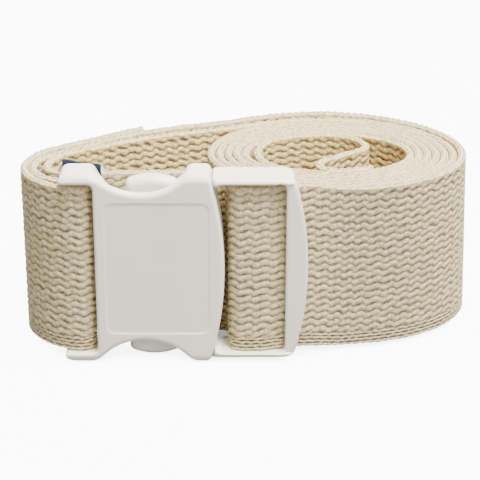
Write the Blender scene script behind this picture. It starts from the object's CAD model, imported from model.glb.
"""A webbing belt wound into an oval coil, standing on its lower edge, with its buckle.

Lengths are millimetres unless noted: x runs right, y from front to back, z up from the floor.
The buckle lies along x at the front left and the coil stands to its right and behind it.
place() centres these drawing coordinates in the frame and turns them into metres.
"""

import itertools
import math

import bpy
import numpy as np
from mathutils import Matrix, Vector


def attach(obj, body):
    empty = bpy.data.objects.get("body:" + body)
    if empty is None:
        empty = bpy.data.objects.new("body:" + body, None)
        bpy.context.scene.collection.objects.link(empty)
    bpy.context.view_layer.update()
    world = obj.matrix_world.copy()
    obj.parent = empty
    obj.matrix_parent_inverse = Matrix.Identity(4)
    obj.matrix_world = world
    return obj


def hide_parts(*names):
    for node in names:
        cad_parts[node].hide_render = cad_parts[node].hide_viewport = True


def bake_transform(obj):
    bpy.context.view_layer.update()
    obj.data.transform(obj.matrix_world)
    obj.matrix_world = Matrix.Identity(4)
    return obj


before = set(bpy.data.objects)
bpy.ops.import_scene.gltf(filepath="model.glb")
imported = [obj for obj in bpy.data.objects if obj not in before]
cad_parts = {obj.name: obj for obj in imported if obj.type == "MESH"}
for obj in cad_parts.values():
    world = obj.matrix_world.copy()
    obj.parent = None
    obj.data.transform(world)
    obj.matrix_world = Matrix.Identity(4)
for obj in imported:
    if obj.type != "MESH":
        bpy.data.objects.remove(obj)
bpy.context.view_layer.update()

# ---------------------------------------------------------------- sizes
# webbing
WIDTH = 51.6
THICK = 2.6
LAYER = 2.65            # step from one turn of the coil to the next

# coil
COIL_X, COIL_Y = 28.0, 33.6
COIL_RX, COIL_RY = 41.6, 36.2
TURNS = 7
SLOPE = 33.0            # degrees, rise of the back runs towards the coil

# buckle, shared
BUCKLE_H = 59.8
BUCKLE_T = 12.5
FRONT = -9.0
BACK = FRONT + BUCKLE_T
MID_Y = (FRONT + BACK) / 2
MID_Z = BUCKLE_H / 2
EDGE_R = 2.8
PLATE = 2.4             # wall of the front and back plates
CAVITY_FRONT = FRONT + PLATE
CAVITY_BACK = BACK - PLATE
SLOT_H = 53.0
SLOT_LOW = MID_Z - SLOT_H / 2
SLOT_HIGH = SLOT_LOW + SLOT_H
BULGE_R = 104.0         # bulged ends of the housing and the plug, seen from the front

# housing
HOUSING_LEFT = -52.3
MOUTH = -4.5
SLOT_EDGE = -42.3
SCALLOP_R, SCALLOP_D, SCALLOP_X = 20.0, 6.0, -28.2
END_BAR = np.array([-46.9, -3.3])

# plug and its two arms
PLUG_RIGHT = 19.9
PLUG_H = 58.1
PLUG_LOW = (BUCKLE_H - PLUG_H) / 2
BAR_IN = 13.4           # inner edge of the outer bar
MIDDLE_BAR = np.array([0.6, -3.4])
PRONG_LEFT = -36.0
HINGE_X, HINGE_Z = -14.5, 19.5      # HINGE_Z is measured from the middle
PAD_TOP = MID_Z - 3.2

# strap round the buckle
FRONT_Y = -6.25         # strap's middle line in front of the bars
LOOP_LEFT = 64.3        # reach of the sewn loop left of x = 0
STUB_X = -29.5          # outer end of the sewn loop
CUT_X = -27.0           # place on the back run where loop and belt meet
WRAP_R = END_BAR[1] - FRONT_Y
LOOP_R = LOOP_LEFT + END_BAR[0] - 0.2
LOOP_CORNER_R = 13.0
DIVE = 92.0             # heading of the strap as it dives behind the middle bar
TURN_R = 4.0
BEHIND_Y = 8.0          # strap behind the housing
BEHIND_LEFT = 57.6
BEHIND_Z = 3.3          # its lower edge
BEND_Y = 13.2           # where its left bend starts to slope

# label
LABEL_L = 12.0
LABEL_RIGHT = -40.3

ORIGIN_X = (COIL_X + COIL_RX - LAYER / 4 - LOOP_LEFT) / 2
ORIGIN_Y = (FRONT + COIL_Y + COIL_RY + 1.25) / 2


def place(points):
    """Drawing millimetres to frame metres."""
    return (np.asarray(points, float) - [ORIGIN_X, ORIGIN_Y, 0.0]) * 0.001


# ---------------------------------------------------------------- paths of the strap in plan
def heading(angle):
    return np.array([math.cos(math.radians(angle)), math.sin(math.radians(angle))])


def line(start, end, steps):
    """Even points from start, leaving out end."""
    start, end = np.array(start, float), np.array(end, float)
    return [start + (end - start) * i / steps for i in range(steps)]


def arc(centre, radius, first, last, side, steps):
    """Arc between two headings; its centre is left (side 1) or right (-1) of the travel."""
    centre = np.array(centre, float)
    return [centre - radius * heading(first + (last - first) * i / steps + side * 90)
            for i in range(steps + 1)]


def coil(turn):
    """Point on the coil, wound clockwise and inwards from its back."""
    angle = math.radians(90 - 360 * turn)
    dent = 0.0
    if turn > 6.4:
        # the innermost turn stands off its neighbour on the left
        dent = 1.3 * math.exp(-((turn - 6.74) / 0.085) ** 2)
    return np.array([COIL_X + (COIL_RX - LAYER * turn - dent) * math.cos(angle),
                     COIL_Y + (COIL_RY - LAYER * turn - 0.6 * dent) * math.sin(angle)])


def coil_run(first, last, steps):
    return [coil(first + (last - first) * i / steps) for i in range(steps + 1)]


def meet(turn):
    """Place on the coil where the sloping back run touches the given turn."""
    rx, ry = COIL_RX - LAYER * (turn - 0.1), COIL_RY - LAYER * (turn - 0.1)
    angle = 180 - math.degrees(math.atan(ry / (rx * math.tan(math.radians(SLOPE)))))
    return turn + (90 - angle) / 360


def back_run(turn, x):
    """Point at x on the sloping run that meets the given turn."""
    joint = coil(meet(turn))
    return np.array([x, joint[1] + (x - joint[0]) * math.tan(math.radians(SLOPE))])


def bend_radius(turn, left, y):
    """Radius of the bend that starts at (-left, y), heading back, and ends on the back run."""
    slope = math.radians(SLOPE)
    joint = coil(meet(turn))
    rise = joint[1] + (-left - joint[0]) * math.tan(slope) - y
    return rise / (math.cos(slope) - (1 - math.sin(slope)) * math.tan(slope))


def loop_path():
    """Sewn loop: from the cut down the left bend, round the end bar and back outside itself."""
    left = LOOP_LEFT - LAYER
    corner_y = END_BAR[1] + WRAP_R + LOOP_CORNER_R
    radius = bend_radius(0, left, corner_y)
    corner = (-left + LOOP_CORNER_R, corner_y)
    bend = (-left + radius, corner_y)
    points = line(back_run(0, CUT_X - 0.1), np.array(bend) - radius * heading(SLOPE - 90), 16)
    points += arc(bend, radius, 90, SLOPE, -1, 16)[::-1]
    points += arc(corner, LOOP_CORNER_R, 180, 90, -1, 20)[::-1]
    points += [END_BAR + WRAP_R * heading(90 - 9 * i) for i in range(21)]
    # front left corner: a quarter of a superellipse
    depth = corner_y - FRONT_Y
    power = 2 / 1.78
    for i in range(1, 41):
        cosine, sine = math.cos(math.pi / 2 * i / 40), math.sin(math.pi / 2 * i / 40)
        points.append(np.array([-LOOP_LEFT + LOOP_R - LOOP_R * sine ** power,
                                FRONT_Y + depth - depth * cosine ** power]))
    points += arc(bend, radius + LAYER, 90, SLOPE, -1, 20)
    stub = back_run(0, STUB_X) + LAYER * heading(SLOPE + 90)
    return points + line(points[-1], stub, 10) + [stub]


def buckle_path(start):
    """From the front of the coil over the plug's bars, then back behind the middle bar."""
    points = []
    # x, y, steps of each straight
    for x, y, steps in ((19, -2.75, 16), (14.6, -3.5, 8), (7.4, -6.0, 10),
                        (5.4, FRONT_Y, 4), (1, FRONT_Y, 6)):
        points += line(start, (x, y), steps)
        start = (x, y)
    radius = MIDDLE_BAR[1] - FRONT_Y
    dive = MIDDLE_BAR - radius * heading(DIVE - 90)
    rise = BEHIND_Y - dive[1] - TURN_R * (1 + math.sin(math.radians(DIVE + 90)))
    turn = dive + rise / math.sin(math.radians(DIVE)) * heading(DIVE)
    points += arc(MIDDLE_BAR, radius, 180, DIVE, -1, 14)
    points += line(dive, turn, 8)[1:]
    return points + arc(turn + TURN_R * heading(DIVE + 90), TURN_R, DIVE, 180, 1, 14)


def tail_path():
    """Free inner end: peels off the coil, curls round and doubles back to the last turn."""
    peel_r, curl_r, flap_r = 12.0, 6.0, 5.2
    flap_turn = TURNS + 0.49
    start, ahead = coil(TURNS), coil(TURNS + 0.002)
    away = math.degrees(math.atan2(ahead[1] - start[1], ahead[0] - start[0]))
    peel = start + peel_r * heading(away - 90)
    curl = peel + (peel_r - curl_r) * heading(10)
    flap = coil(flap_turn) + [0, flap_r]
    span = flap - curl
    between = math.degrees(math.atan2(span[1], span[0])
                           - math.asin((curl_r + flap_r) / np.linalg.norm(span)))
    points = arc(peel, peel_r, away, -80, -1, 20)
    points += arc(curl, curl_r, -80, between, -1, 20)
    points += arc(flap, flap_r, between, 2, 1, 30)
    return points + [coil(flap_turn - 0.078 * i / 12 - 0.005) for i in range(1, 13)]


def belt_path():
    """Belt from the cut, round the coil, through the buckle and inwards to its free end."""
    front_turn = 165 / 360
    outer, inner = meet(0), meet(1)
    bend_r = bend_radius(1, BEHIND_LEFT, BEND_Y)
    corner_r = BEND_Y - BEHIND_Y
    through = buckle_path(coil(front_turn))
    left = arc((-BEHIND_LEFT + corner_r, BEND_Y), corner_r, 180, 90, -1, 20)
    left += arc((-BEHIND_LEFT + bend_r, BEND_Y), bend_r, 90, SLOPE, -1, 16)
    points = line(back_run(0, CUT_X), coil(outer), 12)
    points += coil_run(outer, front_turn, 90) + through[1:]
    points += line(through[-1], left[0], 30)[1:] + left
    points += line(left[-1], coil(inner), 24)[1:]
    return points + coil_run(inner, TURNS, 1100)[1:] + tail_path()[1:]


def lengths(points):
    steps = np.linalg.norm(np.diff(points, axis=0), axis=1)
    return np.concatenate([[0], np.cumsum(steps)])


def box_mean(padded, half):
    sums = np.cumsum(np.concatenate([np.zeros_like(padded[:1]), padded]), 0)
    return (sums[2 * half + 1:] - sums[:-2 * half - 1]) / (2 * half + 1)


def resample(points, step, smooth):
    """Even steps along a path, with its corners eased, and the distance at each point."""
    apart = np.linalg.norm(np.diff(points, axis=0), axis=1) > 1e-3
    points = points[np.concatenate([[True], apart])]
    dist = lengths(points)
    count = int(round(dist[-1] / step))
    even = np.linspace(0, dist[-1], count + 1)
    eased = np.stack([np.interp(even, dist, points[:, i]) for i in (0, 1)], 1)
    half = max(1, int(round(smooth / (dist[-1] / count))))
    for _ in range(3):
        before = 2 * eased[0] - eased[half:0:-1]
        after = 2 * eased[-1] - eased[-2:-half - 2:-1]
        eased = box_mean(np.concatenate([before, eased, after]), half)
    return eased, lengths(eased)


PATH, PATH_AT = resample(np.array(loop_path()[::-1] + belt_path()), step=0.1, smooth=0.45)
tangent = np.gradient(PATH, axis=0)
tangent /= np.linalg.norm(tangent, axis=1)[:, None]
OUTWARD = np.stack([-tangent[:, 1], tangent[:, 0]], 1)      # left of the travel


def nearest(x, y, after=0.0):
    """Distance along the path of its nearest point to (x, y)."""
    gap = np.hypot(PATH[:, 0] - x, PATH[:, 1] - y) + np.where(PATH_AT >= after, 0, 1e6)
    return float(PATH_AT[int(gap.argmin())])


# places along the strap
AT_LOOP = nearest(-LOOP_LEFT, 11.5)
AT_WRAP = nearest(END_BAR[0] + WRAP_R, END_BAR[1])
AT_CUT = nearest(*back_run(0, CUT_X), after=AT_WRAP)
AT_APEX = nearest(*coil(0), after=AT_CUT)
AT_FRONT = nearest(*coil(0.43), after=AT_APEX)
AT_PLUG = nearest(12, -4.2, after=AT_FRONT)
AT_BEHIND = nearest(-20, BEHIND_Y, after=AT_PLUG)
AT_BEND = nearest(-BEHIND_LEFT, BEND_Y, after=AT_BEHIND)
AT_JOIN = nearest(*coil(1.02), after=AT_BEND)
AT_TURN_2 = nearest(*coil(2.0), after=AT_JOIN)
AT_INNER = nearest(*coil(5.93), after=AT_TURN_2 + 600)
AT_PEEL = nearest(*coil(6.97), after=AT_INNER + 60)
AT_END = float(PATH_AT[-1])


def hash01(first, second):
    value = np.sin(np.asarray(first, float) * 12.9898
                   + np.asarray(second, float) * 78.233 + 3.7) * 43758.5453
    return value - np.floor(value)


def noise(x, seed):
    """Smooth noise 0..1 with one cell per unit of x."""
    cell = np.floor(x)
    part = x - cell
    part = part * part * (3 - 2 * part)
    return hash01(cell, seed) * (1 - part) + hash01(cell + 1, seed) * part


def ease(low, high, x):
    """Smooth step from 0 at low to 1 at high."""
    part = np.clip((np.asarray(x, float) - low) / (high - low), 0, 1)
    return part * part * (3 - 2 * part)


def lower_edge():
    """Height of the lower edge: lifted where the buckle carries it, near the floor in the coil."""
    at, x = PATH_AT, PATH[:, 0]
    turns = (at - AT_JOIN) / 190.0
    # from, to, height; later stretches replace earlier ones where they overlap
    stretches = (
        (0, AT_CUT - 20, 3.7 + 1.3 * ease(AT_WRAP + 38, AT_WRAP + 72, at)),
        (0, AT_WRAP - 30, 3.7 + 1.4 * (1 - ease(4, 62, at)) + 0.4 * (1 - ease(0, 15, at))),
        (AT_CUT - 20, AT_APEX + 60, 5.0 - 2.5 * ease(-34, 8, x) - 0.9 * ease(20, 68, x)),
        (AT_APEX + 60, AT_FRONT, 1.6),
        (AT_FRONT - 30, AT_BEHIND, 1.6 + 2.0 * (1 - ease(16.5, 34, x))),
        (AT_BEHIND, AT_BEND, BEHIND_Z),
        (AT_BEND, AT_JOIN + 30, 4.0 - 2.8 * ease(-34, 8, x) - 0.3 * ease(10, 60, x)),
        (AT_JOIN + 30, math.inf,
         0.95 + 0.30 * (noise(turns * 2.3, 5.0) - 0.5) - 0.2 * ease(0, 6, turns)),
    )
    height = np.zeros(len(at))
    for start, end, value in stretches:
        height = np.where((at >= start) & (at < end), value, height)
    half = 60
    height = box_mean(np.pad(height, half, mode="edge"), half)
    height = height + 0.22 * (noise(at / 21.0, 1.0) - 0.5) + 0.12 * (noise(at / 7.3, 2.0) - 0.5)
    return np.maximum(height, 0.06)


LOWER_EDGE = lower_edge()

# ---------------------------------------------------------------- weave
PICK = 4.38             # two picks along the strap
SELVEDGE = 4.4          # band along the lower edge with closer, straighter ends
SELVEDGE_ROW = 1.10
ROWS = 21.0             # rows across the rest of the width
ROUNDING = 0.62         # rounding of the strap's edges


def weave(along, across):
    """Relief and tone, 0..1, of wavy rows made of an upper and a lower float in turn."""
    low = across < SELVEDGE
    row_at = np.where(low, across / SELVEDGE_ROW, SELVEDGE / SELVEDGE_ROW
                      + (across - SELVEDGE) * (ROWS / (WIDTH - SELVEDGE)))
    wave = np.where(low, 0.04, 0.100) * ease(0.0, 1.6, WIDTH - across)
    drift = 0.55 * (noise(along / 23.0, 9.0) - 0.5) + 0.22 * (noise(along / 6.1 + 7, 3.0) - 0.5)
    relief = np.zeros(np.broadcast(along, across).shape)
    tone = np.zeros_like(relief)
    base = np.floor(row_at)
    for k in (-1, 0, 1):
        row = base + k
        phase = (along / np.where(low, PICK * 0.62, PICK) + drift
                 + 0.22 * (noise(along / 11.0 + 5.3 * row, 6.0) - 0.5)
                 + np.where(low, 0.5 * np.mod(row, 2), 0))
        wobble = (0.15 * (noise(along / 2.1 + 13.7 * row, 21.0) - 0.5)
                  + 0.10 * (noise(along / 0.9 + 3.1 * row, 27.0) - 0.5))
        middle = row + 0.5 + wave * np.cos(2 * math.pi * phase) + wobble
        aside = (row_at - middle) / np.where(low, 0.42, 0.5)
        # the plain cord under the floats
        cord = np.where(low, 0.36, 0.46) * np.sqrt(np.maximum(0.0, 1 - np.abs(aside) ** 2.4))
        tone = np.where(cord > relief, 0.35, tone)
        relief = np.maximum(relief, cord)
        for half in (0, 1):
            pick = np.floor(phase - 0.5 * half + 0.5)
            part = phase - 0.5 * half - pick
            jitter = hash01(pick + 17.0 * half, row)
            size_jitter = hash01(pick + 31.0, row * 1.7 + half) - 0.5
            lift = (0.22 - 0.44 * half) + 0.26 * (jitter - 0.5)
            swell = np.cos(math.pi * np.clip(part * (1.10 + 0.25 * size_jitter), -0.5, 0.5))
            slant = aside - lift * (1 - 0.3 * swell) + (0.66 - 0.1 * half) * part
            wide = 0.28 + (0.68 + 0.12 * size_jitter) * swell
            bump = (np.sqrt(np.maximum(0.0, 1 - (slant / wide) ** 2))
                    * swell ** 0.55 * (0.86 + 0.14 * jitter))
            tone = np.where(bump > relief, hash01(pick * 1.31 + half * 0.7, row * 2.17), tone)
            relief = np.maximum(relief, bump)
    # the ply of each cord, and fine roughness
    ply = (along * 1.05 + row_at * 2.24 * 0.95) / 0.86 + 0.5 * hash01(base, 3.0)
    ply = np.abs(np.mod(ply, 1.0) - 0.5) * 2
    rough = 0.05 * (noise(along / 0.45 + 7.7 * np.floor(row_at * 4), 33.0) - 0.5)
    return relief * (0.93 + 0.07 * ply) + rough * ease(0.1, 0.5, relief), tone


# ---------------------------------------------------------------- meshes
def mesh_object(name, verts, faces, material, smooth=True, normals=None, attrs=None):
    """Object from vertices in metres and a list of face arrays, each of one face size."""
    mesh = bpy.data.meshes.new(name)
    mesh.vertices.add(len(verts))
    mesh.vertices.foreach_set("co", np.ascontiguousarray(verts, np.float32).ravel())
    loops = np.concatenate([np.asarray(part, np.int32).ravel() for part in faces])
    totals = np.concatenate([np.full(len(part), len(part[0]), np.int32) for part in faces])
    starts = np.concatenate([[0], np.cumsum(totals)[:-1]]).astype(np.int32)
    mesh.loops.add(len(loops))
    mesh.loops.foreach_set("vertex_index", loops)
    mesh.polygons.add(len(totals))
    mesh.polygons.foreach_set("loop_start", starts)
    mesh.polygons.foreach_set("loop_total", totals)
    mesh.polygons.foreach_set("use_smooth", np.full(len(totals), smooth))
    mesh.update(calc_edges=True)
    mesh.validate()
    for key, values in (attrs or {}).items():
        values = np.ascontiguousarray(values, np.float32)
        vector = values.ndim == 2
        layer = mesh.attributes.new(key, "FLOAT_VECTOR" if vector else "FLOAT", "POINT")
        layer.data.foreach_set("vector" if vector else "value", values.ravel())
    if normals is not None:
        mesh.normals_split_custom_set_from_vertices(np.ascontiguousarray(normals, np.float32))
    obj = bpy.data.objects.new(name, mesh)
    bpy.context.scene.collection.objects.link(obj)
    mesh.materials.append(material)
    return obj


def side_rows(step):
    """Places across one face, close together in the rounded edges."""
    edge = ROUNDING * (1 - np.cos(np.linspace(0.22, 1, 5) * math.pi / 2))
    count = max(2, int(round((WIDTH - 2 * ROUNDING) / step)))
    middle = np.linspace(ROUNDING, WIDTH - ROUNDING, count + 1)
    return np.concatenate([edge[:-1], middle, WIDTH - edge[:-1][::-1]])


TOP_SIDES = np.array([0.78, 0.40, 0.0, -0.40, -0.78])     # section points over the top edge


def end_cap(left, right):
    """Triangles that close a section with the given numbers of left and right rows."""
    top = len(TOP_SIDES)
    rights = list(range(left + top, left + top + right))[::-1]
    i, j = 0, 0
    faces = [(left + top + right, 0, rights[0])]
    while i < left - 1 or j < right - 1:
        if j >= right - 1 or (i < left - 1 and (i + 1) / left <= (j + 1) / right):
            faces.append((i, i + 1, rights[j]))
            i += 1
        else:
            faces.append((i, rights[j + 1], rights[j]))
            j += 1
    rim = [*range(left - 1, left + top), rights[-1]]
    faces += [(rim[0], rim[k], rim[k + 1]) for k in range(1, top + 1)]
    return np.array(faces)


def strap(name, start, end, left, right, step, both_within):
    """A closed run of webbing between two places along the path.

    left (outer) and right (inner) are the row spacings of the faces; finer faces carry
    the weave as real relief. both_within marks both faces as looking into the open middle.
    """
    count = max(3, int(round((end - start) / step)))
    along = np.linspace(start, end, count + 1)
    centre = np.stack([np.interp(along, PATH_AT, PATH[:, i]) for i in (0, 1)], 1)
    normal = np.stack([np.interp(along, PATH_AT, OUTWARD[:, i]) for i in (0, 1)], 1)
    normal /= np.linalg.norm(normal, axis=1)[:, None]
    bottom = np.interp(along, PATH_AT, LOWER_EDGE)

    # section: up the left face, over the top, down the right face, bottom
    lefts, rights = side_rows(left), side_rows(right)
    rows = np.concatenate([lefts, np.full(len(TOP_SIDES), WIDTH), rights[::-1], [0.0]])
    sides = np.concatenate([np.ones(len(lefts)), TOP_SIDES, -np.ones(len(rights)), [0]])
    at, across = np.meshgrid(along, rows, indexing="ij")
    side = np.broadcast_to(sides[None, :], at.shape)
    relief, tone = weave(at + np.where(side < 0, 1.3, 0.0), across)
    relief = np.clip(relief, 0, 1)
    edge = np.minimum(across, WIDTH - across)
    profile = np.sqrt(np.clip(1 - (1 - np.clip(edge / ROUNDING, 0, 1)) ** 2, 0, 1))
    depth = 0.12 + 0.50 * ease(0.1, 1.2, edge)
    body = (THICK / 2) * profile - depth * (1 - relief) * profile
    offset = np.where(np.abs(side) == 1, np.maximum(body, 0.02) * side,
                      (THICK / 2) * 0.62 * side)
    # the wefts turn over the edges and give them a soft beaded top
    depth_at = offset / (THICK / 2)
    bead = (0.17 * np.cos(2 * math.pi * (at / (PICK / 2) + 0.35 * depth_at))
            * (1 - 0.5 * depth_at ** 2)
            + 0.30 * (noise(at / 0.8 + 3 * depth_at, 8.0) - 0.5)
            + 0.12 * (noise(at / 2.7, 14.0) - 0.5))
    beaded = across + (np.where(across > WIDTH / 2, 1, -1) * (bead + 0.10 * (1 - depth_at ** 2))
                       * ease(0.6, 0.0, edge))
    # the coil leans: towards the foot its front stands further back, its right further out
    x, y = centre[:, 0][:, None], centre[:, 1][:, None]
    foot = 1 - across / WIDTH
    lean = 3.0 * ease(17.0, 40.0, x) * np.clip((62 - y) / 62, 0, 1.0) * foot
    verts = place(np.stack([
        x + normal[:, 0][:, None] * offset + 1.9 * ease(30.0, 66.0, x) * foot,
        y + normal[:, 1][:, None] * offset + lean,
        np.maximum(bottom[:, None] + beaded, 0.02),
    ], -1).reshape(-1, 3))

    size = len(rows)
    i = np.arange(count)[:, None] * size
    j = np.arange(size)[None, :]
    after = (j + 1) % size
    quads = np.stack([i + size + j, i + size + after, i + after, i + j], -1).reshape(-1, 4)
    cap = end_cap(len(lefts), len(rights))
    caps = np.concatenate([cap[:, ::-1], cap + count * size])

    # turns whose inner face looks into the belt's open middle
    within = ((along > AT_BEND) & (along < AT_JOIN + 12)) | (along > AT_INNER)
    facing = np.abs(side) == 1 if both_within else side == -1
    attrs = {
        "sw": np.stack([at.ravel(), across.ravel(), side.ravel()], 1),
        "relief": relief.ravel(),
        "tone": tone.ravel(),
        "edge": (1 - ease(0.1, 0.8, edge)).ravel(),
        "within": (within[:, None] & facing).astype(float).ravel(),
    }
    return mesh_object(name, verts, [quads, caps], WEBBING, attrs=attrs)


# ---------------------------------------------------------------- distance fields
def smooth_max(one, two, blend):
    near = np.maximum(blend - np.abs(one - two), 0) / blend
    return np.maximum(one, two) + near * near * blend * 0.25


def smooth_min(one, two, blend):
    return -smooth_max(-one, -two, blend)


def disc(p, q, centre, radius):
    return np.hypot(p - centre[0], q - centre[1]) - radius


def rect(p, q, low, high, radius):
    """Rounded rectangle in two coordinates."""
    dp = np.abs(p - (low[0] + high[0]) / 2) - ((high[0] - low[0]) / 2 - radius)
    dq = np.abs(q - (low[1] + high[1]) / 2) - ((high[1] - low[1]) / 2 - radius)
    outside = np.hypot(np.maximum(dp, 0), np.maximum(dq, 0))
    return outside + np.minimum(np.maximum(dp, dq), 0) - radius


def slab(p, low, high):
    return np.abs(p - (low + high) / 2) - (high - low) / 2


def extrude(outline, depth, radius):
    """Flat outline with a thickness, its edges rounded."""
    out, deep = outline + radius, depth + radius
    rounded = np.hypot(np.maximum(out, 0), np.maximum(deep, 0))
    return np.minimum(np.maximum(out, deep), 0) + rounded - radius


def surface_net(field, low, high, step):
    """Surface nets over a box, pulled onto the field's zero: vertices, quads, normals."""
    axes = [np.arange(low[i] - step, high[i] + 2 * step, step) for i in range(3)]
    values = np.empty([len(axis) for axis in axes], np.float32)
    for i in range(0, len(axes[0]), 24):
        grid = np.meshgrid(axes[0][i:i + 24], axes[1], axes[2], indexing="ij")
        values[i:i + 24] = field(*grid)
    inside = values < 0
    nx, ny, nz = [size - 1 for size in inside.shape]
    corners = [(i, j, k) for k in (0, 1) for j in (0, 1) for i in (0, 1)]
    held = [inside[i:i + nx, j:j + ny, k:k + nz] for i, j, k in corners]
    active = np.logical_or.reduce(held) & ~np.logical_and.reduce(held)
    index = np.full(active.shape, -1, np.int64)
    cells = np.argwhere(active)
    index[active] = np.arange(len(cells))

    # one vertex per active cell, at the mean of its edge crossings
    total = np.zeros((len(cells), 3))
    hits = np.zeros(len(cells))
    for start, end in itertools.combinations(np.array(corners), 2):
        if np.abs(start - end).sum() != 1:
            continue
        first = values[tuple((cells + start).T)].astype(float)
        last = values[tuple((cells + end).T)].astype(float)
        crossed = (first < 0) != (last < 0)
        part = np.where(crossed, first / np.where(crossed, first - last, 1), 0)
        total += np.where(crossed[:, None], start + part[:, None] * (end - start), 0)
        hits += crossed
    local = total / hits[:, None]
    verts = np.stack([axes[i][0] + (cells[:, i] + local[:, i]) * step for i in range(3)], 1)

    # one quad round each crossed grid edge
    quads = []
    unit = np.eye(3, dtype=int)
    for axis in range(3):
        u, v = (axis + 1) % 3, (axis + 2) % 3
        edges = np.argwhere(np.diff(inside, axis=axis))
        edges = edges[(edges[:, u] > 0) & (edges[:, v] > 0) & (edges < index.shape).all(1)]
        leaving = inside[tuple(edges.T)]
        ring = (unit[u] + unit[v], unit[v], 0 * unit[u], unit[u])
        quad = np.stack([index[tuple((edges - back).T)] for back in ring], 1)
        quad[~leaving] = quad[~leaving][:, ::-1]
        quads.append(quad)

    def gradient(points, reach=0.02):
        slope = np.zeros_like(points)
        for i in range(3):
            ahead, behind = points.copy(), points.copy()
            ahead[:, i] += reach
            behind[:, i] -= reach
            slope[:, i] = (field(*ahead.T) - field(*behind.T)) / (2 * reach)
        return slope

    for _ in range(4):
        slope = gradient(verts)
        move = (field(*verts.T) / np.maximum((slope * slope).sum(1), 0.2))[:, None] * slope
        length = np.linalg.norm(move, axis=1)[:, None]
        verts = verts - move * np.minimum(1, 0.5 * step / np.maximum(length, 1e-9))
    normals = gradient(verts, 0.06)
    normals /= np.maximum(np.linalg.norm(normals, axis=1)[:, None], 1e-9)
    return verts, np.concatenate(quads), normals


def scallop(x, z, depth):
    """Solid left by the thumb scallops in the upper and lower edges of the housing."""
    from_edge = MID_Z - np.abs(z - MID_Z)
    x = np.where((z > MID_Z) & (x > SCALLOP_X), SCALLOP_X + (x - SCALLOP_X) * 1.10, x)
    radius = (SCALLOP_D * (2 * SCALLOP_R - SCALLOP_D) + depth * depth) / (2 * depth)
    return radius - np.hypot(x - SCALLOP_X, from_edge - (depth - radius))


BULGE_CENTRE = (MOUTH - BULGE_R, MID_Z)


def housing(x, y, z):
    solid = extrude(rect(y, z, (FRONT, 0), (BACK, BUCKLE_H), EDGE_R),
                    slab(x, HOUSING_LEFT, MOUTH + 4), 0.9)
    # bulged mouth, and rounded toes of the horns, in the plane of the face
    solid = smooth_max(solid, disc(x, z, BULGE_CENTRE, BULGE_R), blend=1.5)
    toes = rect(x, z, (HOUSING_LEFT, 0), (MOUTH + 8, BUCKLE_H), radius=3.6)
    solid = smooth_max(solid, toes, blend=0.7)
    # faint stepped panel on the face
    panel = rect(x, z, (-39.2, MID_Z - 19.9), (-9.0, MID_Z + 20.9), radius=2.2)
    solid = solid + 0.17 * ((1 - ease(-0.35, 0.35, panel)) * ease(MID_Y, MID_Y - 1, y))
    # webbing slot, open to the left
    slot = rect(x, z, (HOUSING_LEFT - 20, SLOT_LOW), (SLOT_EDGE, SLOT_HIGH), radius=1.6)
    solid = smooth_max(solid, -slot, blend=1.1)
    # thumb scallops, deeper in the back plate and a little deeper below
    depth = SCALLOP_D + 5.0 * ease(CAVITY_FRONT + 2.0, CAVITY_FRONT + 4.5, y)
    scallops = np.where(z > MID_Z, scallop(x, z, depth), scallop(x, z, depth + 1.4))
    solid = smooth_max(solid, scallops, blend=1.7)
    wall = 3.0
    cavity = rect(y, z, (CAVITY_FRONT, wall), (CAVITY_BACK, BUCKLE_H - wall), radius=1.0)
    cavity = extrude(cavity, slab(x, SLOT_EDGE + 2.8, MOUTH + 6), 0.5)
    solid = smooth_max(solid, -cavity, blend=0.5)
    bar = extrude(disc(x, y, END_BAR, 1.5), slab(z, 1.5, BUCKLE_H - 1.5), 0.3)
    return smooth_min(solid, bar, blend=0.8)


def plug_base(x, y, z):
    """Part of the plug inside the mouth, with sockets for the arms."""
    side = np.abs(z - MID_Z)
    depth = slab(y, CAVITY_FRONT + 0.3, CAVITY_BACK - 0.3)
    base = extrude(rect(x, side, (-17, -30), (-5.4, 23.6), 0.5), depth, 0.5)
    for left, top, radius, rounding in ((-9.5, SLOT_H / 2, 0.5, 0.5),
                                        (-7.5, SLOT_H / 2 + 1, 0.3, 0.4)):
        step = extrude(rect(x, side, (left, -40), (-5.4, top), radius), depth, rounding)
        base = np.minimum(base, step)
    base = smooth_max(base, -disc(x, side, (HINGE_X, HINGE_Z), 2.46), blend=0.2)
    # flared mouth of each socket
    reach = HINGE_X - 0.2
    below = (HINGE_Z - 2.65 - side) - (reach - x) * 0.9
    wedge = np.maximum(x - reach, np.maximum(side - (HINGE_Z + 2.0), below))
    base = smooth_max(base, -wedge, blend=0.2)
    # slanted back, clear of the webbing
    slant = np.maximum(-(x + 5.4 + (y + 3.6) * 0.372),
                       np.maximum(-(y + 3.6), side - SLOT_H / 2))
    base = smooth_max(base, -slant, blend=0.4)
    # kept back from the mouth's front lip
    lip = disc(x, z, BULGE_CENTRE, BULGE_R) + 1.6
    return smooth_max(base, np.minimum(lip, 25.6 - side), blend=0.5)


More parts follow.
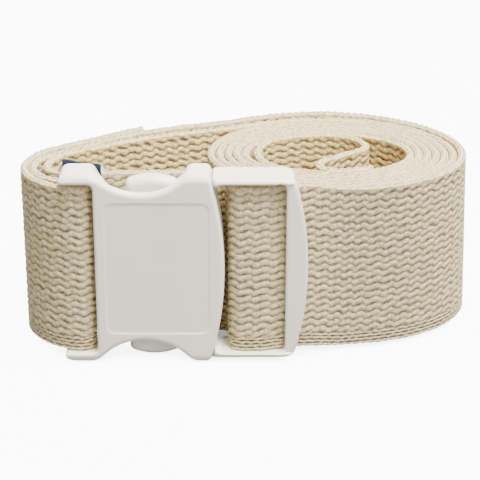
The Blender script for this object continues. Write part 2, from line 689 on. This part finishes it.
def plug(x, y, z):
    plug_high = PLUG_LOW + PLUG_H
    rim = disc(x, z, (PLUG_RIGHT - BULGE_R, MID_Z), BULGE_R)
    corners = np.minimum(rect(x, z, (-30, PLUG_LOW), (18.2, plug_high), radius=7.0),
                         slab(z, MID_Z - 21, MID_Z + 21))
    solid = extrude(rect(y, z, (FRONT, PLUG_LOW), (BACK, plug_high), EDGE_R),
                    slab(x, -14, PLUG_RIGHT + 3), 0.9)
    solid = smooth_max(solid, smooth_max(rim, corners, blend=1.2), blend=1.8)
    # the rails end against the housing's bulged mouth, with eased corners
    solid = smooth_max(solid, -disc(x, z, BULGE_CENTRE, BULGE_R + 0.25), blend=1.5)
    # opening between the rails
    opening = np.minimum(rect(x, z, (-8.6, SLOT_LOW), (4.0, SLOT_HIGH), radius=4.2),
                         rect(x, z, (-2.0, SLOT_LOW), (BAR_IN, SLOT_HIGH), radius=1.7))
    solid = smooth_max(solid, -opening, blend=0.9)
    # the outer bar is thin, cut away both behind y = -5.5 and at the front
    bar_zone = rect(x, z, (BAR_IN - 3, SLOT_LOW), (PLUG_RIGHT + 6, SLOT_HIGH), radius=1.2)
    solid = smooth_max(solid, -np.maximum(bar_zone, -(y + 5.5)), blend=0.7)
    solid = smooth_max(solid, -np.maximum(bar_zone, (y - (FRONT + 0.8))), blend=0.8)
    bar_x, bar_y = MIDDLE_BAR
    bar = rect(x, y, (bar_x - 1.5, bar_y - 1.5), (6.7, bar_y + 1.5), radius=1.45)
    bar = extrude(bar, slab(z, 1.8, BUCKLE_H - 1.8), 0.2)
    solid = smooth_min(solid, bar, blend=0.8)
    solid = smooth_min(solid, plug_base(x, y, z), blend=0.3)
    prong = extrude(rect(x, z, (PRONG_LEFT, MID_Z - 6), (-10, MID_Z + 6), radius=5.9),
                    slab(y, CAVITY_FRONT + 0.5, CAVITY_BACK - 0.5), 0.7)
    return smooth_min(solid, prong, blend=1.0)


def latch_arm(sign):
    """Field of the upper (sign 1) or lower (-1) arm with its pad."""
    top = PAD_TOP + (1.0 if sign > 0 else 2.2)

    def field(x, y, z):
        side = (z - MID_Z) * sign
        beam = rect(x, side, (-35.1, HINGE_Z - 1.8), (HINGE_X, HINGE_Z + 1.5), radius=1.6)
        outline = smooth_min(disc(x, side, (HINGE_X, HINGE_Z), 2.4), beam, blend=0.8)
        body = extrude(outline, slab(y, CAVITY_FRONT + 0.4, CAVITY_BACK - 0.4), 0.85)
        pad = smooth_max(rect(x, side, (-33, HINGE_Z - 0.5), (-17.6, top + 4), radius=0.8),
                         disc(x, side, (-25.6, top - 17), 17), blend=1.2)
        # the pad's outer edge is rolled, and stands back from the front plate
        pad = extrude(pad, slab(y, CAVITY_FRONT + 1.5, CAVITY_BACK - 0.4), 2.1)
        return smooth_min(body, pad, blend=0.7)
    return field


def moulded(name, field, low, high, step, body, cad_piece):
    verts, quads, normals = surface_net(field, low, high, step)
    obj = mesh_object(name, place(verts), [quads], PLASTIC, normals=normals)
    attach(obj, body)
    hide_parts(cad_piece)


# ---------------------------------------------------------------- materials
class Shader:
    """A material's node tree, with short calls for the nodes used here."""

    def __init__(self, name):
        self.material = bpy.data.materials.new(name)
        self.material.use_nodes = True
        self.tree = self.material.node_tree

    def node(self, kind, **settings):
        node = self.tree.nodes.new(kind)
        for key, value in settings.items():
            setattr(node, key, value)
        return node

    def put(self, socket, value):
        if isinstance(value, bpy.types.NodeSocket):
            self.tree.links.new(value, socket)
        else:
            socket.default_value = value

    def math(self, operation, one, two):
        node = self.node("ShaderNodeMath", operation=operation)
        for i, value in enumerate((one, two, 0.0)):
            self.put(node.inputs[i], value)
        return node.outputs[0]

    def mix(self, factor, base, over, blend="MIX"):
        node = self.node("ShaderNodeMix", data_type="RGBA", blend_type=blend)
        for i, value in ((0, factor), (6, base), (7, over)):
            self.put(node.inputs[i], value)
        return node.outputs[2]

    def tint(self, base, mask, strength, over, blend="MIX"):
        return self.mix(self.math("MULTIPLY", mask, strength), base, over, blend)

    def ramp(self, value, low, high, at_low=0, at_high=1):
        """Smooth step from at_low to at_high as value goes from low to high."""
        node = self.node("ShaderNodeMapRange", interpolation_type="SMOOTHSTEP")
        for i, item in enumerate((value, low, high, at_low, at_high)):
            self.put(node.inputs[i], item)
        return node.outputs[0]

    def attr(self, name, output="Fac"):
        return self.node("ShaderNodeAttribute", attribute_name=name).outputs[output]

    def position(self):
        return self.node("ShaderNodeTexCoord").outputs["Object"]

    def noise(self, vector, scale=1.0, detail=3.0, rough=0.55, stretch=None, turn=(0, 0, 0)):
        if stretch:
            mapping = self.node("ShaderNodeMapping")
            self.put(mapping.inputs["Vector"], vector)
            mapping.inputs["Scale"].default_value = stretch
            mapping.inputs["Rotation"].default_value = turn
            vector = mapping.outputs[0]
        node = self.node("ShaderNodeTexNoise")
        for key, value in (("Vector", vector), ("Scale", scale), ("Detail", detail),
                           ("Roughness", rough)):
            self.put(node.inputs[key], value)
        return node.outputs[0]

    def bands(self, vector, direction, scale, distortion=0.0):
        node = self.node("ShaderNodeTexWave", wave_type="BANDS", bands_direction=direction)
        for key, value in (("Vector", vector), ("Scale", scale), ("Distortion", distortion)):
            self.put(node.inputs[key], value)
        return node.outputs["Fac"]

    def bump(self, height, distance, strength):
        node = self.node("ShaderNodeBump")
        for key, value in (("Height", height), ("Distance", distance), ("Strength", strength)):
            self.put(node.inputs[key], value)
        return node.outputs[0]

    def surface(self, **values):
        for key, value in values.items():
            self.put(self.tree.nodes["Principled BSDF"].inputs[key.replace("_", " ")], value)


def webbing_material():
    shader = Shader("cotton_webbing")
    cloth = shader.attr("sw", "Vector")
    relief, tone, edge = shader.attr("relief"), shader.attr("tone"), shader.attr("edge")
    hollow = (0.175, 0.135, 0.088, 1)
    flank = (0.475, 0.38, 0.225, 1)
    crest = (0.885, 0.725, 0.42, 1)
    pinkish = (0.765, 0.605, 0.355, 1)
    yellowish = (0.735, 0.605, 0.295, 1)
    broad = shader.noise(cloth, detail=2.0, stretch=(0.05, 0.09, 0.2))
    warm = shader.mix(shader.ramp(broad, low=0.38, high=0.62), pinkish, yellowish)
    cord = shader.mix(shader.ramp(tone, low=0.2, high=1.0), warm, crest)
    color = shader.mix(shader.ramp(relief, low=0.05, high=0.55), hollow, flank)
    color = shader.mix(shader.ramp(relief, low=0.42, high=0.86), color, cord)
    # fibres: fine streaks that follow the twist of each cord
    fibre = shader.noise(cloth, scale=1.6, detail=4.0, rough=0.65,
                         stretch=(1.1, 5.2, 1.0), turn=(0, 0, 0.42))
    color = shader.tint(color, shader.ramp(fibre, low=0.42, high=0.70), strength=0.30,
                        over=(0.40, 0.29, 0.145, 1))
    fuzz = shader.noise(cloth, detail=2.0, rough=0.6, stretch=(6.0, 7.0, 1.0))
    color = shader.tint(color, shader.ramp(fuzz, low=0.52, high=0.72), strength=0.28,
                        over=(0.84, 0.72, 0.47, 1))
    # the folded edges are paler
    color = shader.tint(color, edge, strength=0.80, over=(0.885, 0.73, 0.405, 1))
    # dark and light grain
    grain = shader.noise(shader.position(), scale=1500.0, detail=2.0, rough=0.6)
    color = shader.tint(color, shader.ramp(grain, low=0.50, high=0.68), strength=0.50,
                        over=(0.36, 0.28, 0.145, 1))
    color = shader.tint(color, shader.ramp(grain, low=0.50, high=0.34), strength=0.45,
                        over=(0.92, 0.82, 0.54, 1))
    slub = shader.noise(cloth, detail=2.0, stretch=(0.35, 2.4, 1.0))
    color = shader.tint(color, shader.ramp(slub, low=0.55, high=0.75), strength=0.25,
                        over=(0.50, 0.38, 0.20, 1))
    # brighter on the faces that look into the open middle
    color = shader.tint(color, shader.attr("within"), strength=0.85,
                        over=(1.20, 1.12, 0.84, 1), blend="MULTIPLY")
    height = shader.math("ADD", shader.math("MULTIPLY", fibre, 0.7),
                         shader.math("MULTIPLY", grain, 0.9))
    shader.surface(Base_Color=color,
                   Roughness=shader.ramp(relief, low=0, high=1, at_low=0.97, at_high=0.84),
                   Normal=shader.bump(height, distance=0.00042, strength=1.0),
                   Sheen_Weight=0.06, Sheen_Roughness=0.5, Sheen_Tint=(1.0, 0.90, 0.72, 1),
                   Specular_IOR_Level=0.12)
    return shader.material


def plastic_material():
    shader = Shader("moulded_plastic")
    pointiness = shader.node("ShaderNodeNewGeometry").outputs["Pointiness"]
    position = shader.position()
    cloud = shader.noise(position, scale=55.0)
    color = shader.mix(shader.ramp(cloud, low=0.35, high=0.65),
                       (0.90, 0.83, 0.705, 1), (0.87, 0.80, 0.69, 1))
    fine = shader.noise(position, scale=2200.0, detail=2.0)
    # worn ridges and dirty hollows
    color = shader.tint(color, shader.ramp(pointiness, low=0.505, high=0.56), strength=0.45,
                        over=(0.86, 0.855, 0.84, 1))
    color = shader.tint(color, shader.ramp(pointiness, low=0.485, high=0.43), strength=0.30,
                        over=(0.55, 0.52, 0.46, 1))
    scuff = shader.noise(position, rough=0.6, stretch=(900, 160, 900), turn=(0.3, 0.2, 0.5))
    scuffed = shader.math("MULTIPLY", shader.ramp(scuff, low=0.45, high=0.75), 0.16)
    height = shader.math("ADD", fine, shader.math("MULTIPLY", scuff, 0.5))
    shader.surface(Base_Color=color, Roughness=shader.math("ADD", 0.34, scuffed),
                   Normal=shader.bump(height, distance=0.00003, strength=0.5),
                   Subsurface_Weight=0.12, Subsurface_Radius=(0.0022, 0.0019, 0.0016),
                   Specular_IOR_Level=0.5, Coat_Weight=0.08, Coat_Roughness=0.25)
    return shader.material


def thread_material():
    shader = Shader("sewing_thread")
    position = shader.position()
    ply = shader.bands(position, "DIAGONAL", scale=1500.0, distortion=1.0)
    color = shader.mix(ply, (0.70, 0.62, 0.48, 1), (0.88, 0.83, 0.72, 1))
    spots = shader.noise(position, scale=600.0, detail=2.0)
    color = shader.tint(color, spots, strength=0.3, over=(0.80, 0.70, 0.56, 1))
    shader.surface(Base_Color=color, Roughness=0.62, Sheen_Weight=0.25,
                   Normal=shader.bump(ply, distance=0.00006, strength=0.7))
    return shader.material


def label_material():
    """Navy cloth with a pale selvedge."""
    shader = Shader("label_cloth")
    cloth = shader.attr("sw", "Vector")
    grid = shader.math("MULTIPLY", shader.bands(cloth, "X", scale=1.6),
                       shader.bands(cloth, "Y", scale=2.0))
    navy = shader.mix(grid, (0.004, 0.005, 0.010, 1), (0.010, 0.012, 0.024, 1))
    spots = shader.noise(cloth, scale=1.2)
    navy = shader.tint(navy, shader.ramp(spots, low=0.5, high=0.8), strength=0.4,
                       over=(0.022, 0.027, 0.055, 1))
    color = shader.mix(shader.attr("edge"), navy, (0.74, 0.74, 0.74, 1))
    shader.surface(Base_Color=color, Roughness=0.8, Sheen_Weight=0.03, Sheen_Roughness=0.4,
                   Normal=shader.bump(grid, distance=0.00008, strength=0.7),
                   Specular_IOR_Level=0.15)
    return shader.material


WEBBING = webbing_material()
PLASTIC = plastic_material()
THREAD = thread_material()
LABEL = label_material()


# ---------------------------------------------------------------- the strap
def build_strap():
    """The strap in consecutive pieces; returns the run that crosses the joint."""
    # row spacings of a face
    coarse, medium = 3.0, 0.42
    fine = 0.225
    layers = [("webbing_coil_layers_%d" % (i + 1), float(end), coarse, coarse, "root", 0.55)
              for i, end in enumerate(np.linspace(AT_TURN_2, AT_INNER, 5)[1:])]
    # name, end, left spacing, right spacing, body, step along the strap
    table = [
        ("webbing_sewn_end", AT_LOOP, coarse, fine, "housing", 0.40),
        ("webbing_loop_eye", AT_CUT - 1.0, medium, fine, "housing", 0.40),
        ("webbing_back_run", AT_APEX, fine, medium, None, 0.40),
        ("webbing_outer_layer", AT_FRONT, fine, coarse, "root", 0.40),
        ("webbing_front_run", AT_PLUG - 6, fine, medium, "root", 0.40),
        ("webbing_adjuster", AT_BEHIND, fine, medium, "root", 0.40),
        ("webbing_behind_housing", AT_BEND, fine, medium, "root", 0.40),
        ("webbing_inner_bend", AT_JOIN + 12, coarse, fine, "root", 0.40),
        ("webbing_second_layer", AT_TURN_2, coarse, medium, "root", 0.6),
        *layers,
        ("webbing_inner_layer", AT_PEEL, coarse, fine, "root", 0.40),
        ("webbing_inner_end", AT_END, fine, fine, "root", 0.42),
    ]
    pieces = {}
    start = 0.0
    for name, end, left, right, body, step in table:
        piece = strap(name, start, end, left, right, step, name == "webbing_inner_end")
        if body:
            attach(piece, body)
        pieces[name] = piece
        start = end
    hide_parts("webbing_buckle_loop")
    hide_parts("webbing_main")
    return pieces["webbing_back_run"]


def build_buckle():
    step = 0.40
    moulded("buckle_housing_shell", housing, (HOUSING_LEFT, FRONT, 0), (MOUTH, BACK, BUCKLE_H),
            step, "housing", "buckle_housing")
    moulded("buckle_plug_body", plug, (PRONG_LEFT, FRONT, 0),
            (PLUG_RIGHT + 0.5, BACK, BUCKLE_H), step, "root", "plug_frame")
    for sign, name in ((1, "upper"), (-1, "lower")):
        low, high = sorted((MID_Z + 16 * sign, MID_Z + 29.4 * sign))
        moulded("latch_pad_" + name, latch_arm(sign), (-35.6, CAVITY_FRONT, low),
                (-11.5, CAVITY_BACK, high), 0.3, "latch_" + name, "latch_arm_" + name)


# ---------------------------------------------------------------- thread
def stitch(start, end, up, radius, sag):
    """One stitch that dives into the cloth at both ends: vertices, quads, triangles."""
    rings, sides, dive = 9, 8, 0.16
    length = np.linalg.norm(end - start)
    ahead = (end - start) / length
    aside = np.cross(up, ahead)
    verts = []
    for i in range(rings):
        part = i / (rings - 1)
        arch = math.sin(math.pi * part)
        centre = start + ahead * length * part + up * (sag * arch ** 0.6 - dive * (1 - arch))
        girth = radius * (0.55 + 0.45 * arch ** 0.4)
        for j in range(sides):
            angle = 2 * math.pi * j / sides
            verts.append(centre + aside * math.cos(angle) * girth * 1.1
                         + up * math.sin(angle) * girth * 0.8)
    verts += [start - up * dive, end - up * dive]
    tip, last = rings * sides, (rings - 1) * sides
    quads, tris = [], []
    for i in range(0, last, sides):
        for j in range(sides):
            k = (j + 1) % sides
            quads.append((i + j, i + k, i + sides + k, i + sides + j))
    for j in range(sides):
        k = (j + 1) % sides
        tris += [(tip, k, j), (tip + 1, last + j, last + k)]
    return np.array(verts), np.array(quads), np.array(tris)


def sew(name, lines, up, body, pitch, gap, radius, sag):
    up = np.array(up, float)
    verts, quads, tris, base = [], [], [], 0
    for start, end in lines:
        start, end = np.array(start, float), np.array(end, float)
        count = max(1, int(round(np.linalg.norm(end - start) / pitch)))
        for i in range(count):
            first = start + (end - start) * ((i + gap / pitch / 2) / count)
            last = start + (end - start) * ((i + 1 - gap / pitch / 2) / count)
            points, sides, tips = stitch(first, last, up, radius, sag)
            verts.append(points)
            quads.append(sides + base)
            tris.append(tips + base)
            base += len(points)
    thread = mesh_object(name, place(np.concatenate(verts)),
                         [np.concatenate(quads), np.concatenate(tris)], THREAD)
    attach(thread, body)
    return thread


def build_box_thread():
    """Crossed box of stitches on the sewn end of the loop."""
    length, half = 15, 21.0
    along = np.array([*heading(SLOPE), 0.0])
    up = np.array([*heading(SLOPE + 90), 0.0])
    face = back_run(0, STUB_X) + (LAYER + THICK / 2 - 0.12) * heading(SLOPE + 90)
    origin = np.array([*face, 4.1 + WIDTH / 2]) + along * -18.5
    # corners: lower and upper at the left, lower and upper at the right
    corners = [origin + along * reach + np.array([0, 0, z])
               for reach in (0, length) for z in (-half, half)]
    lines = [(corners[i], corners[j])
             for i, j in ((0, 2), (1, 3), (0, 1), (2, 3), (0, 3), (1, 2))]
    thread = sew("sewn_box_thread", lines, up, "housing",
                 pitch=3.0, gap=0.55, radius=0.24, sag=0.22)
    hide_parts("loop_stitching")


# ---------------------------------------------------------------- the label
def build_label():
    """Tape folded over the strap's top edge, with a pale right end and a slight curl."""
    columns, points = 61, 90
    top = BEHIND_Z + WIDTH + 2.6
    thick = 0.42
    drop = 8.0              # straight flap on each face
    radius = THICK / 2 + 0.10 + thick / 2
    fold = math.pi * radius
    length = 2 * drop + fold

    # the tape's middle line, up the front, over the edge and down the back
    run = np.linspace(0, length, points)
    angle = math.pi - np.clip(run - drop, 0, fold) / radius
    flap = np.maximum(drop - run, 0) + np.maximum(run - (length - drop), 0)
    u = np.linspace(0, 1, columns)[:, None]
    v = np.linspace(0, 1, points)[None, :]
    crown = np.exp(-((v - 0.5) / 0.16) ** 2)
    x = LABEL_RIGHT - LABEL_L + LABEL_L * u + 0.12 * np.sin(v * 9.0) * (u - 0.5)
    widen = 1 + 0.10 * crown * np.sin(u * 3.0 + 0.5)
    raised = (1.7 * (0.5 - u) * np.clip(crown * 1.4, 0, 1)
              + 0.16 * np.sin(u * 7.5 + 0.6) * crown - 1.1 * ease(0.90, 1.0, u) * crown)
    sheets = []
    for side in (1, -1):
        reach = radius + side * thick / 2
        y = BEHIND_Y + reach * np.cos(angle) * widen
        z = top - radius - flap + reach * np.sin(angle) + raised
        sheets.append(np.stack([x, y, z], -1).reshape(-1, 3))

    sheet = columns * points
    turned = [0, 3, 2, 1]

    def rim(start, step):
        return np.stack([start, start + sheet, start + step + sheet, start + step], 1)

    rows = np.arange(columns - 1) * points
    cols = np.arange(points - 1)
    cell = (rows[:, None] + cols[None, :]).ravel()
    face = np.stack([cell, cell + points, cell + points + 1, cell + 1], 1)
    quads = np.concatenate([
        face,
        face[:, turned] + sheet,
        rim(rows, points),
        rim(rows + points - 1, points)[:, turned],
        rim(cols, 1)[:, turned],
        rim(cols + (columns - 1) * points, 1),
    ])
    across = np.tile(np.repeat(u.ravel(), points), 2)
    down = np.tile(v.ravel(), 2 * columns)
    attrs = {
        "sw": np.stack([across * LABEL_L, down * length, np.zeros(2 * sheet)], 1),
        "edge": ease(0.945, 0.97, across),
    }
    tape = mesh_object("edge_label_cloth", place(np.concatenate(sheets)), [quads],
                               LABEL, attrs=attrs)
    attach(tape, "root")
    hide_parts("edge_label")


def build_label_thread():
    inset = 0.7
    z = BEHIND_Z + WIDTH - 7.6
    for name, side in (("front", -1), ("back", 1)):
        y = BEHIND_Y + side * (THICK / 2 + 0.54)
        ends = ((LABEL_RIGHT - LABEL_L + inset, y, z), (LABEL_RIGHT - inset, y, z))
        # the back is sewn the other way
        sew("label_thread_" + name, [ends[::-side]], (0, side, 0), "root",
                           pitch=1.9, gap=0.4, radius=0.15, sag=0.10)
    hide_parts("label_stitching")


crossing_run = build_strap()
build_buckle()
build_box_thread()
build_label()
build_label_thread()

# the back run bends between the housing and the coil
blend_start, blend_end = place([CUT_X - 0.5, 0, 30]), place([28.5, 0, 30])
tuple(blend_start)
tuple(blend_end)
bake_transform(crossing_run)


# ---------------------------------------------------------------- floor, light, camera
def floor_material():
    """Glows white to the camera, less near the belt and hardly in the gap behind the buckle."""
    shader = Shader("studio_floor")
    rays = shader.node("ShaderNodeLightPath")
    occlusion = shader.node("ShaderNodeAmbientOcclusion", samples=8)
    occlusion.inputs["Distance"].default_value = 0.03
    open_sky = shader.ramp(occlusion.outputs["AO"], low=0.05, high=0.26,
                           at_low=0.45, at_high=1.0)
    split = shader.node("ShaderNodeSeparateXYZ")
    shader.put(split.inputs[0], shader.position())

    def band(socket, low, high, soft=2):
        rise = shader.ramp(socket, low=low / 1000, high=(low + soft) / 1000)
        fall = shader.ramp(socket, low=(high - soft) / 1000, high=high / 1000,
                           at_low=1, at_high=0)
        return shader.math("MULTIPLY", rise, fall)

    gap = shader.math("MULTIPLY", band(split.outputs[0], -11 - ORIGIN_X, 1 - ORIGIN_X),
                      band(split.outputs[1], -5 - ORIGIN_Y, 30 - ORIGIN_Y))
    lit = shader.math("SUBTRACT", 1.0, shader.math("MULTIPLY", gap, 0.97))
    shade = shader.math("MULTIPLY", open_sky, lit)
    seen = shader.math("MULTIPLY", rays.outputs["Is Camera Ray"], shade)
    shader.surface(Base_Color=(0.20, 0.20, 0.20, 1), Roughness=0.9, Specular_IOR_Level=0.1,
                   Emission_Color=(1, 1, 1, 1),
                   Emission_Strength=shader.math("MULTIPLY", seen, 10.5))
    return shader.material


def build_floor():
    below = -0.0002         # metres, just under the belt
    corners = [(-3, -2.2, below), (3, -2.2, below), (3, 3.0, below), (-3, 3.0, below)]
    mesh_object("floor", corners, [np.array([[0, 1, 2, 3]])], floor_material(),
                         smooth=False)


def build_world():
    """Soft white surround, brighter to the camera and in reflections."""
    world = bpy.data.worlds.new("studio")
    bpy.context.scene.world = world
    world.use_nodes = True
    nodes, links = world.node_tree.nodes, world.node_tree.links
    ambient = nodes["Background"]
    seen = nodes.new("ShaderNodeBackground")
    for background, strength in ((ambient, 0.55), (seen, 7.0)):
        background.inputs[0].default_value = (1, 1, 1, 1)
        background.inputs[1].default_value = strength
    rays = nodes.new("ShaderNodeLightPath")
    either = nodes.new("ShaderNodeMath")
    either.operation = "MAXIMUM"
    links.new(rays.outputs["Is Camera Ray"], either.inputs[0])
    links.new(rays.outputs["Is Glossy Ray"], either.inputs[1])
    pick = nodes.new("ShaderNodeMixShader")
    for i, node in enumerate((either, ambient, seen)):
        links.new(node.outputs[0], pick.inputs[i])
    links.new(pick.outputs[0], nodes["World Output"].inputs[0])


def area_light(name, location, target, size, power):
    """Rectangular light; places and sizes in metres, power in watts."""
    light = bpy.data.lights.new(name, "AREA")
    light.shape = "RECTANGLE"
    light.size, light.size_y = size
    light.energy = power
    obj = bpy.data.objects.new(name, light)
    bpy.context.scene.collection.objects.link(obj)
    obj.location = location
    aim = Vector(target) - Vector(location)
    obj.rotation_euler = aim.to_track_quat("-Z", "Y").to_euler()


def build_camera():
    data = bpy.data.cameras.new("camera")
    camera = bpy.data.objects.new("camera", data)
    bpy.context.scene.collection.objects.link(camera)
    data.sensor_width = 36.0
    data.lens = 114.375
    data.clip_start = 0.01
    camera.location = (-ORIGIN_X / 1000, (-417.2 - ORIGIN_Y) / 1000, 0.2048)
    camera.rotation_euler = (math.radians(68.0), 0, 0)
    bpy.context.scene.camera = camera


build_floor()
build_world()
area_light("key_above", location=(0.17, -0.15, 0.78), target=(0, 0, 0),
           size=(0.34, 0.30), power=25.0)
area_light("fill_right", location=(0.34, -0.58, 0.72), target=(0, 0, 0.03),
           size=(0.4, 0.4), power=5.6)
area_light("fill_left", location=(-0.60, -0.60, 0.40), target=(0, 0, 0.03),
           size=(0.4, 0.4), power=0.3)
build_camera()
